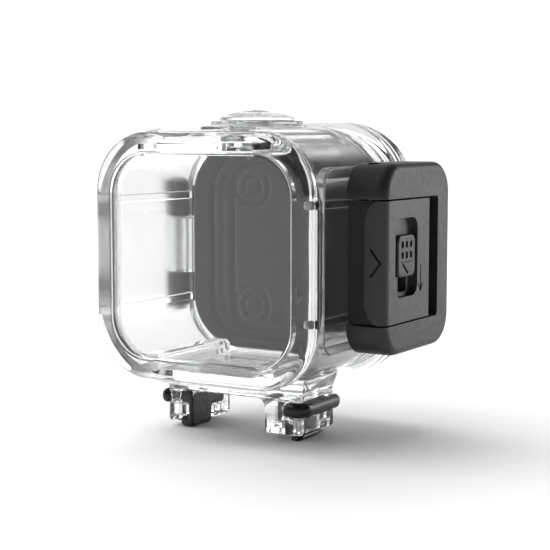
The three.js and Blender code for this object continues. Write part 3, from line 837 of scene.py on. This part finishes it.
o_ring = washer(STEM_RADIUS - 0.35, ring_high.x, ring_low.z, ring_high.z, 0.3)
piece("stem_o_ring", o_ring, "button", ["button_o_ring"], [milky])
e_clip = washer(STEM_RADIUS - 0.35, clip_high.x, clip_low.z, clip_high.z, 0.06)
clip_gap = box((-0.9, BUTTON_Y - 4, clip_low.z - 1), (0.9, BUTTON_Y - 1, clip_high.z + 1), 0.05, 0.3, "Z")
e_clip = cut(e_clip, clip_gap)
piece("stem_clip", e_clip, "button", ["button_clip"], [metal])
tip_rows = [(0, tip_low.z, 0), (tip_high.x, tip_low.z, 0.35)]
tip_rows += [(tip_high.x, tip_high.z, 0.1), (0, tip_high.z, 0)]
piece("plunger_pad", turned(tip_rows, 0, BUTTON_Y), "button", ["plunger_tip"], [rubber])


# ---- Rear door ----
TAB_END, TAB_FRONT, TAB_REAR = -15.5, 36.3, 38.0
PLATE_FRONT, PLUG_REAR = 33.3, 34.2
SCREW_X, SCREW_HOLE, SCREW_SINK, SCREW_SEAT, SCREW_FACE = -19.0, 1, 1.9, 37.12, 37.9
ARMS = {}
for name in ("upper", "lower"):
    arm_low, arm_high = span("hinge_arm_" + name)
    ARMS[name] = (arm_low.z, arm_high.z)


def arm_middle(arm):
    return sum(ARMS[arm]) / 2


def door_plate():
    plate = slab("Y", FLANGE, PLATE_FRONT, door_high.y, 0.75, edge_low=0.35, corner_steps=18)
    stopper = slab("Y", PLUG, door_low.y, PLUG_REAR, 0.25, corner_steps=18)
    holes = [rod(SCREW_X, arm_middle(arm), SCREW_HOLE, 34, door_high.y + 1, axis="Y") for arm in ARMS]
    return cut(union(plate, stopper), *holes)


piece("door_plate", door_plate(), "door", ["rear_door"], [gloss], bevel=0.06)
door_ring = ring_band(grown(LAND, -0.2), grown(PLUG, 0.2), seal_low.y, seal_high.y, 0.3)
piece("door_ring", door_ring, "door", ["door_seal"], [milky])

# The grooves in the pad's face: the outline each follows, how deep it is and its half width.
PAD_LINES = (
    (Outline(15.2, 17.8, 7.8), 0.35, 0.5),
    (Outline(12.9, 16.3, 6.0), 0.18, 0.35),
    (Outline(10.5, 15.3, 4.2), 0.4, 0.5),
)
BOSS_X, BOSS_Z, BOSS_OUTER, BOSS_INNER = 6.3, 11.1, 3.6, 1.9
BOSS_DEEP, BOSS_HALF, PAD_FIELD_DEEP, PAD_FILLET = 0.28, 0.38, 0.12, 0.9
PAD_SPACING, PAD_RIM_STEP, PAD_RIM_RINGS, PAD_RINGS = 0.4, 0.004, 12, 58


def outline_distance(x, z, outline):
    """How far a point is outside an outline, negative inside it."""
    u = abs(x) - (outline.wide - outline.corner)
    v = abs(z) - (outline.high - outline.corner)
    return math.hypot(max(u, 0), max(v, 0)) + min(max(u, v), 0) - outline.corner


def pad_depth(x, z):
    """How far the pad's face lies behind its highest level."""
    depth = PAD_FIELD_DEEP if outline_distance(x, z, PAD_LINES[0][0]) < 0 else 0
    for outline, deep, half in PAD_LINES:
        depth += deep * math.exp(-((outline_distance(x, z, outline) / half) ** 2))
    away = math.hypot(abs(x) - BOSS_X, abs(z) - BOSS_Z)
    for radius in (BOSS_OUTER, BOSS_INNER):
        depth += BOSS_DEEP * math.exp(-(((away - radius) / BOSS_HALF) ** 2))
    edge = -outline_distance(x, z, PAD)
    if edge < PAD_FILLET:
        depth += PAD_FILLET - math.sqrt(max(0, PAD_FILLET**2 - (PAD_FILLET - edge) ** 2))
    return depth


def pad_cushion():
    """The pad's face as closely spaced rings of one outline, each point at its own depth."""
    around = 40
    outer = ring_points(*PAD, around)
    spaced = []
    for i, (x, z) in enumerate(outer):
        following = outer[(i + 1) % len(outer)]
        step_x, step_z = following[0] - x, following[1] - z
        parts = max(1, round(math.hypot(step_x, step_z) / PAD_SPACING))
        spaced += [(x + step_x * k / parts, z + step_z * k / parts) for k in range(parts)]
    scales = [1 - PAD_RIM_STEP * k for k in range(PAD_RIM_RINGS)]
    scales += [scales[-1] * (1 - k / PAD_RINGS) for k in range(1, PAD_RINGS)]
    rings = [[(x, pad_high.y, z) for x, z in spaced]]
    for scale in scales:
        level = [(x * scale, z * scale) for x, z in spaced]
        rings.append([(x, pad_low.y + pad_depth(x, z), z) for x, z in level])
    return loft(rings)


piece("silicone_pad", pad_cushion(), "door", ["door_pad"], [silicone])


def hinge_strap(bottom, top):
    low = (HINGE_X - KNUCKLE_RADIUS, HINGE_Y, bottom)
    strap = box(low, (-FLANGE.wide - 0.4, TAB_REAR, top), 0.4, 0.9, "Z")
    tab = box((-FLANGE.wide - 2, TAB_FRONT, bottom), (TAB_END, TAB_REAR, top), 0.35, 1.5, "Y")
    knuckle = rod(HINGE_X, HINGE_Y, KNUCKLE_RADIUS, bottom, top, 0.35)
    z = (bottom + top) / 2
    return cut(
        union(strap, tab, knuckle),
        rod(HINGE_X, HINGE_Y, HINGE_BORE, bottom - 1, top + 1),
        rod(SCREW_X, z, SCREW_HOLE, TAB_FRONT - 1.3, TAB_REAR + 1, axis="Y"),
        rod(SCREW_X, z, SCREW_SINK, TAB_REAR - 1, TAB_REAR + 1, axis="Y"),
    )


def hinge_screw(z):
    head_radius, shank_radius, socket_radius, shank_end, socket_floor = 1.65, 0.8, 0.75, 34.2, 37.4
    corners = [(0, SCREW_SEAT, 0), (head_radius, SCREW_SEAT, 0.05)]
    corners += [(head_radius, SCREW_FACE, 0.3), (0, SCREW_FACE, 0)]
    head = turned(corners, SCREW_X, z, axis="Y")
    shank = rod(SCREW_X, z, shank_radius, shank_end, SCREW_SEAT + 0.18, axis="Y")
    socket = rod(SCREW_X, z, socket_radius, socket_floor, TAB_REAR + 1, 0.02, axis="Y", steps=6)
    return cut(union(head, shank), socket)


for arm, (bottom, top) in ARMS.items():
    strap = hinge_strap(bottom, top)
    piece("hinge_strap_" + arm, strap, "door", ["hinge_arm_" + arm], [nylon], bevel=0.12)
    screw = hinge_screw(arm_middle(arm))
    piece("strap_screw_" + arm, screw, "door", ["hinge_screw_" + arm], [metal])

pin_head = 1.6
pin_rows = [
    (0, hinge_pin_low.z, 0),
    (pin_head, hinge_pin_low.z, 0.35),
    (pin_head, ARMS["lower"][0] - CLEARANCE, 0.1),
    (HINGE_PIN, ARMS["lower"][0] - CLEARANCE, 0.05),
    (HINGE_PIN, ARMS["upper"][1] + CLEARANCE, 0.05),
    (pin_head, ARMS["upper"][1] + CLEARANCE, 0.1),
    (pin_head, hinge_pin_high.z, 0.35),
    (0, hinge_pin_high.z, 0),
]
pin_body = frame["nodes"]["hinge_pin"]["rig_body"]
piece("hinge_rod", turned(pin_rows, HINGE_X, HINGE_Y), pin_body, ["hinge_pin"], [metal])


# ---- Latch ----
def bail_block():
    """The latch's outer frame: round corners seen from the side and a soft outer front edge."""
    front, rear, bottom, top = bail_low.y, bail_high.y, bail_low.z, bail_high.z
    inner, outer, rim, corner = bail_low.x - 0.15, bail_high.x, 1.3, 5.4
    levels = [(inner, 0.15, 0.15), (inner + 0.05, 0.05, 0.05), (inner + 0.15, 0, 0)]
    steps = 8
    for step in range(steps + 1):
        angle = math.pi / 2 * step / steps
        x = outer - LATCH_EDGE + LATCH_EDGE * math.sin(angle)
        soft = LATCH_EDGE * (1 - math.cos(angle))
        past = max(0, x - (outer - rim))
        levels.append((x, soft, rim - math.sqrt(max(0, rim**2 - past**2))))
    rings = []
    for x, soft, hard in levels:
        low = Vector((front + soft, bottom + hard))
        high = Vector((rear - hard, top - hard))
        half, middle = (high - low) / 2, (high + low) / 2
        points = ring_points(half.x, half.y, corner - hard, 12)
        rings.append([(x, middle.x + u, middle.y + v) for u, v in points])
    return loft(rings)


def bail():
    relief_front, relief_outer, bore_bottom = 29.8, 23.7, -14.8
    open_end = box((20, 5, WINDOW_BOTTOM), (34, WINDOW_REAR, WINDOW_TOP), 0.05, 0.6, "X")
    relief = box((20, relief_front, -20), (relief_outer, 40, 20), 0.05, 0.2, "X")
    hole = rod(BAIL_PIVOT.x, BAIL_PIVOT.y, BAIL_BORE, bore_bottom, bail_high.z + 1)
    return cut(bail_block(), open_end, relief, hole)


piece("latch_frame", bail(), "bail", ["latch_bail"], [nylon], bevel=0.16)


def lever_plan():
    """The lever from above: soft outer front edge, rounded nose about its pivot."""
    inner, outer, front, rear = lever_low.x, lever_high.x, lever_low.y, lever_high.y
    points = [(inner, front)]
    points += arc((outer - LATCH_EDGE, front + LATCH_EDGE), LATCH_EDGE, -90, 0, 10)
    points += [(outer, rear - 0.3), (outer - 0.3, rear)]
    points += arc(LEVER_PIVOT, LEVER_NOSE, 90, 180, 10)
    points += [(LEVER_PIVOT.x - LEVER_NOSE, LEVER_PIVOT.y - 3), (inner, LEVER_PIVOT.y - 4)]
    return points


def front_step():
    """The step in the lever's front, which leaves a raised face with rounded corners. The sunk face is
    painted darker as painted shade, and a groove along the lip is painted near-black as a painted shade line.
    """
    edge, spread, wide, tall, depth = 26.2, 2.6, 2.6, 4.0, 0.6
    bottom, top = lever_low.z, lever_high.z
    turns = [math.pi / 20 * k for k in range(11)]
    curve = [(edge + wide - wide * math.sin(a), tall * (1 - math.cos(a))) for a in turns]
    points = [(edge + spread, bottom - 1)]
    points += [(u, bottom + v) for u, v in curve]
    points += [(u, top - v) for u, v in reversed(curve)]
    points += [(edge + spread, top + 1), (20, top + 1), (20, bottom - 1)]
    # The sunk face takes the darker nylon copy: painted shade.
    step = painted(prism(points, lever_low.y - 1, lever_low.y + depth, "Y"), RECESS_SHADE)
    # The thin groove along the lip has walls in the near-black mark paint: a painted shade line at the step.
    inside = [(u + 0.05, v) for u, v in points[1:-3]]
    outside = [(u - 0.22, v) for u, v in reversed(inside)]
    groove = prism(inside + outside, lever_low.y - 1, lever_low.y + depth + 0.35, "Y")
    return [step, painted(groove, MARK_AND_SHADE)]


def stroke(axis, start, end, half, low, high):
    """A straight engraved line with round ends, as a cutter whose walls are marked."""
    start, end = Vector(start), Vector(end)
    angle = math.degrees(math.atan2(end.y - start.y, end.x - start.x))
    points = arc(end, half, angle - 90, angle + 90, 5) + arc(start, half, angle + 90, angle + 270, 5)
    return painted(prism(points, low, high, axis), MARK_AND_SHADE)


CHEVRON_INNER, CHEVRON_OUTER, CHEVRON_TOP, CHEVRON_BOTTOM = 27.5, 29.2, 2.0, -2.3
ARROW_Y, ARROW_TOP, ARROW_BOTTOM, ARROW_BARB = 24.1, -1.4, -5.7, 0.75


def chevron():
    """A blunt arrowhead on the lever's front face that says which way to pull."""
    front, depth, half = lever_low.y, 0.5, 0.2
    middle = (CHEVRON_TOP + CHEVRON_BOTTOM) / 2
    return [
        stroke("Y", (CHEVRON_INNER, end), (CHEVRON_OUTER, middle), half, front - 1, front + depth)
        for end in (CHEVRON_TOP, CHEVRON_BOTTOM)
    ]


def arrow():
    """A thin arrow beside the slot that points the way the lock slides."""
    face, depth, half = lever_high.x, 0.25, 0.17
    tip_at = (ARROW_Y, ARROW_BOTTOM)
    tails = [(ARROW_Y, ARROW_TOP), (ARROW_Y - ARROW_BARB, ARROW_BOTTOM + 1.1)]
    tails.append((ARROW_Y + ARROW_BARB, ARROW_BOTTOM + 1.1))
    return [stroke("X", tail, tip_at, half, face - depth, face + 1) for tail in tails]


SLOT_FRONT, SLOT_REAR, SLOT_BOTTOM, SLOT_TOP, SLOT_FLOOR = 14.3, 22.8, -6.3, 7.1, 28.9
# The slit that the knob's stem slides in and the room for the plate behind it, by two corners.
STEM_SLIT = ((26, 17.6, -5.6), (30, 20.8, 3.5))
PLATE_ROOM = ((21.5, 17.3, -7), (27.2, 23.5, 7.5))


def lever():
    near, far = LEVER_PIVOT.y - LEVER_NOSE - CLEARANCE, LEVER_PIVOT.x + LEVER_NOSE + CLEARANCE
    pockets = []
    for bottom, top in PIVOT_LUGS:
        pockets.append(box((20, near, bottom - CLEARANCE), (far, 30, top + CLEARANCE), 0.05, 0.2))
    slot_outline = Outline((SLOT_REAR - SLOT_FRONT) / 2, (SLOT_TOP - SLOT_BOTTOM) / 2, 2)
    slot_middle = ((SLOT_REAR + SLOT_FRONT) / 2, (SLOT_TOP + SLOT_BOTTOM) / 2)
    slot_pocket = slab("X", slot_outline, SLOT_FLOOR, 32, 0.15, slot_middle)
    slit = box(*STEM_SLIT, 0.05, 0.6)
    room = box(*PLATE_ROOM, 0.05, 0.3)
    bores = [
        rod(BAIL_PIVOT.x, BAIL_PIVOT.y, BAIL_BORE, -12, 12),
        rod(LEVER_PIVOT.x, LEVER_PIVOT.y, LEVER_BORE, -9.8, 12),
    ]
    body = prism(lever_plan(), lever_low.z, lever_high.z)
    return cut(body, *pockets, *front_step(), slot_pocket, slit, room, *bores, *chevron(), *arrow())


# The lever's last finish is the darker nylon copy, painted shade on its sunk face.
lever_finishes = [nylon, mark_and_shade, recess_shade_nylon]
piece("latch_lever_arm", lever(), "lever", ["latch_lever"], lever_finishes, bevel=0.1)


def pivot_pin(name, node, middle, low, high):
    """A round pin that rides on the body of its CAD node."""
    pin = rod(middle.x, middle.y, high.x - middle.x, low.z, high.z, 0.2)
    piece(name, pin, frame["nodes"][node]["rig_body"], [node], [metal])


pivot_pin("bail_pin", "bail_pivot_pin", BAIL_PIVOT, bail_pin_low, bail_pin_high)
pivot_pin("lever_pin", "lever_pivot_pin", LEVER_PIVOT, lever_pin_low, lever_pin_high)


# ---- Slide lock ----
KNOB_INNER, KNOB_BOTTOM, KNOB_TOP = 29.05, -2.9, 4.2
TICK_MIDDLE, TICK_STEP, TICK_LEVELS = 18.65, 1.6, (2.6, 0.8)
STEM = ((26.9, 17.9, -1.5), (29.5, 20.5, 3))
LOCK_SCREW_Y, LOCK_SCREW_Z = 19.2, 0.75


def slider():
    outline = Outline((knob_high.y - knob_low.y) / 2, (KNOB_TOP - KNOB_BOTTOM) / 2, 1.2)
    middle = ((knob_high.y + knob_low.y) / 2, (KNOB_TOP + KNOB_BOTTOM) / 2)
    face = slab("X", outline, KNOB_INNER, knob_high.x, 0.3, middle, edge_low=0.1)
    stem = box(*STEM, 0.05, 0.3)
    top = knob_high.x
    ticks = []
    for column in (-1, 0, 1):
        for level in TICK_LEVELS:
            y = TICK_MIDDLE + column * TICK_STEP
            tick = box((top - 0.35, y - 0.42, level - 0.6), (top + 1, y + 0.42, level + 0.6), 0.02, 0.36)
            ticks.append(painted(tick, MARK_AND_SHADE))
    line = stroke("X", (16.3, -0.35), (21.0, -0.35), 0.06, top - 0.12, top + 1)
    slash = stroke("X", (17.2, -0.75), (19.0, -2.2), 0.24, top - 0.25, top + 1)
    half = 0.8
    hole_low = (26, LOCK_SCREW_Y - half, LOCK_SCREW_Z - half)
    hole = box(hole_low, (28.6, LOCK_SCREW_Y + half, LOCK_SCREW_Z + half), 0.02, 0.7)
    return cut(union(face, stem), *ticks, line, slash, hole)


piece("lock_knob", slider(), "lock", ["lock_slider"], [nylon, mark_and_shade], bevel=0.05)


def lock_back_plate():
    """The plate that holds the knob from behind, with the tongue that locks under the strike."""
    plate = box((25.4, 17.7, -3.2), (26.75, 22.7, 4.2), 0.15, 0.4)
    tongue = box((23.1, 20.6, 3), (25.6, 22.4, 4.2), 0.1, 0.2)
    return cut(union(plate, tongue), rod(LOCK_SCREW_Y, LOCK_SCREW_Z, 0.9, 24, 28, axis="X"))


piece("lock_back_plate", lock_back_plate(), "lock", ["lock_plate"], [nylon])
screw_head, screw_shank, screw_inner, screw_seat, screw_end = 1.3, 0.6, 24.4, 25.25, 28.4
lock_screw_rows = [
    (0, screw_inner, 0),
    (screw_head, screw_inner, 0.2),
    (screw_head, screw_seat, 0.05),
    (screw_shank, screw_seat, 0.05),
    (screw_shank, screw_end, 0.1),
    (0, screw_end, 0),
]
lock_screw = turned(lock_screw_rows, LOCK_SCREW_Y, LOCK_SCREW_Z, axis="X")
piece("lock_fastener", lock_screw, "lock", ["lock_screw"], [metal])

# ---- Feet ----
for side, turn in (("right", lambda bm: bm), ("left", mirrored)):
    insert = moulded(turn(joined(*insert_parts(0))))
    piece("foot_rubber_" + side, insert, "housing", ["foot_insert_" + side], [rubber])

# ---- Studio ----
CAMERA_PLACE = Vector((131.4, -190.3, 21.3))
CAMERA_TURN = math.radians(31.37)
CAMERA_TILT = math.radians(84.091)

camera_data = bpy.data.cameras.new("camera")
camera_data.lens = 89.9
camera_data.sensor_width = 36
camera_data.clip_start = 0.01
camera_data.clip_end = 20
camera = placed("camera", camera_data)
camera.location = TO_FRAME @ CAMERA_PLACE
camera.rotation_euler = (CAMERA_TILT, 0, CAMERA_TURN)
bpy.context.scene.camera = camera

AHEAD = Vector((-math.sin(CAMERA_TURN), math.cos(CAMERA_TURN), 0))
RIGHT = Vector((math.cos(CAMERA_TURN), math.sin(CAMERA_TURN), 0))
UP = Vector((0, 0, 1))
CENTRE = (cad_low + cad_high) / 2


def studio_place(right, ahead, up):
    """A point that many metres right of, behind and above the object's middle, as the camera sees it."""
    return CENTRE + RIGHT * right + AHEAD * ahead + UP * up


def lamp(name, kind, at, **settings):
    """A lamp that faces the object."""
    data = bpy.data.lights.new(name, kind)
    for setting, value in settings.items():
        setattr(data, setting, value)
    made = placed(name, data)
    made.location = at
    made.rotation_euler = (at - CENTRE).to_track_quat("Z", "Y").to_euler()
    return made


def sheet(name, wide, tall, finish):
    """A flat rectangle of the studio."""
    corners = [(x * wide / 2, y * tall / 2, 0) for x, y in ((-1, -1), (1, -1), (1, 1), (-1, 1))]
    mesh = bpy.data.meshes.new(name)
    mesh.from_pydata(corners, [], [(0, 1, 2, 3)])
    mesh.materials.append(finish.material)
    made = placed(name, mesh)
    return made


def flag(name, at, wide, tall, shade):
    """A dark card that only shows in reflections and through the clear plastic."""
    cloth = Finish(name + "_cloth", Roughness=1.0)
    cloth.shader.inputs["Base Color"].default_value = (shade, shade, shade, 1)
    card = sheet(name, wide, tall, cloth)
    card.location = at
    card.rotation_euler = (CENTRE - at).to_track_quat("Z", "Y").to_euler()
    card.visible_camera = False
    card.visible_diffuse = False
    card.visible_shadow = False


lamp("key", "AREA", studio_place(0.56, 0.27, 0.12), shape="SQUARE", size=0.30, energy=1.7)
# A wide patch of sky overhead keeps the floor one tone to the horizon. It shows in no reflection.
overhead = lamp("overhead", "SUN", studio_place(-0.55, 0.1, 1.0), energy=2.4, angle=math.radians(75))
overhead.visible_glossy = False
overhead.visible_transmission = False
flag("flag_right", studio_place(0.30, 0.22, 0.05), wide=0.14, tall=0.5, shade=0.02)
flag("flag_top", studio_place(0.0, 0.16, 0.34), wide=0.5, tall=0.14, shade=0.03)

FLOOR_SIZE = 12.0
paper = Finish("studio_paper", Roughness=0.7, Specular_IOR_Level=0.2)
paper.colours(paper.noise(40, 2), (0.83, 0.83, 0.83), (0.85, 0.85, 0.85))
floor = sheet("floor", FLOOR_SIZE, FLOOR_SIZE, paper)
floor.location.z = cad_low.z

# The sky is bright behind the object and dark before it. It is dimmed in reflections and on matt pieces.
FRONT_LIGHT, BACK_LIGHT, REFLECTED_LIGHT, DIFFUSE_LIGHT = 0.04, 3.2, 0.26, 0.62
BRIGHT_SIDE, DARK_BELOW, BRIGHT_ABOVE = AHEAD * 0.8 - RIGHT * 0.6, 0.1, 0.55
world = bpy.data.worlds.new("studio")
world.use_nodes = True
sky = world.node_tree
surround = sky.nodes["Background"]
surround.inputs["Color"].default_value = (1, 1, 1, 1)
directions = sky.nodes.new("ShaderNodeTexCoord").outputs["Generated"]
rays = sky.nodes.new("ShaderNodeLightPath").outputs


def sky_math(operation, first, second):
    node = sky.nodes.new("ShaderNodeMath")
    node.operation = operation
    sky.links.new(first, node.inputs[0])
    sky.links.new(second, node.inputs[1])
    return node.outputs["Value"]


def sky_range(source, **ends):
    node = sky.nodes.new("ShaderNodeMapRange")
    for name, value in ends.items():
        node.inputs[name.replace("_", " ")].default_value = value
    sky.links.new(source, node.inputs["Value"])
    return node.outputs["Result"]


facing = sky.nodes.new("ShaderNodeVectorMath")
facing.operation = "DOT_PRODUCT"
facing.inputs[1].default_value = BRIGHT_SIDE
sky.links.new(directions, facing.inputs[0])
level = sky_range(
    facing.outputs["Value"], From_Min=DARK_BELOW, From_Max=BRIGHT_ABOVE, To_Min=FRONT_LIGHT, To_Max=BACK_LIGHT
)
reflected = sky_math("SUBTRACT", rays["Is Glossy Ray"], rays["Is Transmission Ray"])
for ray, share in ((reflected, REFLECTED_LIGHT), (rays["Is Diffuse Ray"], DIFFUSE_LIGHT)):
    level = sky_math("MULTIPLY", level, sky_range(ray, To_Min=1.0, To_Max=share))
sky.links.new(sky_math("MAXIMUM", level, rays["Is Camera Ray"]), surround.inputs["Strength"])

scene = bpy.context.scene
scene.world = world
scene.view_settings.view_transform = "Standard"
scene.cycles.max_bounces = 24
scene.cycles.transmission_bounces = 24
scene.cycles.glossy_bounces = 8
